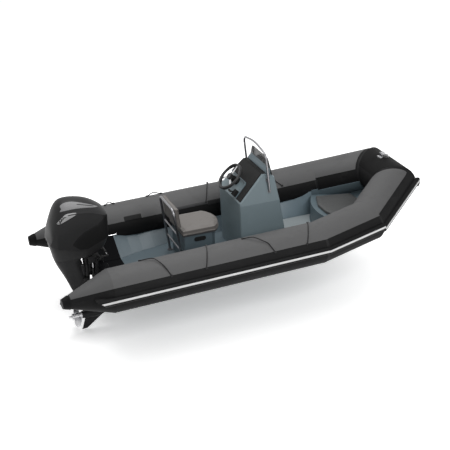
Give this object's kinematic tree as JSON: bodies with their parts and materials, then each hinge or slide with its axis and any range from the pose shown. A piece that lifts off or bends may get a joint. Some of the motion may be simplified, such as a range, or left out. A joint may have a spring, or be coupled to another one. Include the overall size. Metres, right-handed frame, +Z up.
{
  "type": "rigid inflatable boat with outboard motor",
  "caption": "Rigid hull with an inflatable collar, side-mounted steering console, helm seat with backrest, bow locker and a tilting, steering outboard motor.",
  "frame": {"origin": "on the centreline at the waterline, level with the foot of the stern cones", "axes": "+X forward to the bow, +Y to port, +Z up"},
  "size_m": [4.7021, 2.2334, 2.0274],
  "materials": {
    "tube_black": "satin coated fabric",
    "panel_grey": "satin coated fabric",
    "panel_dark": "satin coated fabric",
    "strake_rubber": "satin",
    "stripe_white": "satin",
    "cap_rubber": "matt",
    "hull_grp": "gloss gelcoat",
    "transom_black": "satin gelcoat",
    "nonskid": "matt",
    "dash_black": "satin",
    "smoked_acrylic": "clear smoked",
    "stainless": "polished",
    "wheel_rim": "soft grip",
    "seat_board": "satin",
    "taupe_vinyl": "soft vinyl",
    "pad_grey": "soft vinyl",
    "motor_black": "gloss",
    "propeller_metal": "satin",
    "rope": "braided"
  },
  "bodies": {
    "boat": {"side_tubes": "tube_black", "shoulder_tubes": "tube_black", "bow_tubes": "tube_black", "nose_tube": "tube_black", "side_panels": "panel_grey", "shoulder_panels": "panel_grey", "bow_panels": "panel_grey", "nose_panel": "panel_dark", "rubbing_strake": "strake_rubber", "strake_stripe": "stripe_white", "cone_caps": "cap_rubber", "grab_ropes": "rope", "hull": "hull_grp", "bow_deck": "hull_grp", "deck_floor": "hull_grp", "side_mouldings": "hull_grp", "seat_pod": "hull_grp", "console": "hull_grp", "dash_lip": "hull_grp", "transom": "transom_black", "stern_well": "transom_black", "floor_nonskid": "nonskid", "dash_panel": "dash_black", "throttle_control": "dash_black", "steering_column": "dash_black", "seat_latch": "dash_black", "windscreen": "smoked_acrylic", "console_rail": "stainless", "seat_hoop": "stainless", "bow_roller": "stainless", "bow_eye": "stainless", "stern_eyes": "stainless", "backrest_pad": "taupe_vinyl", "bow_pad": "pad_grey", "clamp_bracket": "motor_black"},
    "swivel": {"swivel_bracket": "motor_black"},
    "motor": {"cowl": "motor_black", "leg_housing": "motor_black", "lower_unit": "motor_black"},
    "propeller": {"propeller": "propeller_metal"},
    "ram_cylinder": {"tilt_ram_cylinder": "motor_black"},
    "ram_rod": {"tilt_ram_rod": "stainless"},
    "wheel": {"steering_wheel": "wheel_rim"},
    "seat_top": {"seat_lid": "seat_board", "seat_cushion": "taupe_vinyl"}
  },
  "joints": [
    {"name": "motor_tilt", "type": "hinge", "parent": "boat", "child": "swivel", "pos_m": [0.072, 0, 0.352], "axis": [0, 1, 0], "range_deg": [0, 65]},
    {"name": "motor_steer", "type": "hinge", "parent": "swivel", "child": "motor", "pos_m": [-0.062, 0, 0.25], "axis": [0, 0, 1], "range_deg": [-29.7, 29.7]},
    {"name": "propeller_spin", "type": "hinge", "parent": "motor", "child": "propeller", "pos_m": [-0.232, 0, -0.42], "axis": [1, 0, 0], "continuous": true},
    {"name": "ram_swing", "type": "hinge", "parent": "boat", "child": "ram_cylinder", "pos_m": [0.0236, 0, 0.04], "axis": [0, 1, 0], "range_deg": [0, 0.46]},
    {"name": "ram_stroke", "type": "slide", "parent": "ram_cylinder", "child": "ram_rod", "axis": [-0.0196, 0, 0.9998], "range_m": [0, 0.066]},
    {"name": "wheel_turn", "type": "hinge", "parent": "boat", "child": "wheel", "pos_m": [1.803, 0.05, 0.99], "axis": [-0.7547, 0, 0.6561], "range_deg": [-540, 540]},
    {"name": "seat_hinge", "type": "hinge", "parent": "boat", "child": "seat_top", "pos_m": [1.546, 0, 0.449], "axis": [0, 1, 0], "range_deg": [0, 75]}
  ],
  "couplings": [
    {"joint": "wheel_turn", "follows": "motor_steer", "ratio": -18.18},
    {"joint": "ram_swing", "follows": "motor_tilt", "ratio": 0.0067},
    {"joint": "ram_stroke", "follows": "motor_tilt", "m_per_rad": 0.0564}
  ]
}
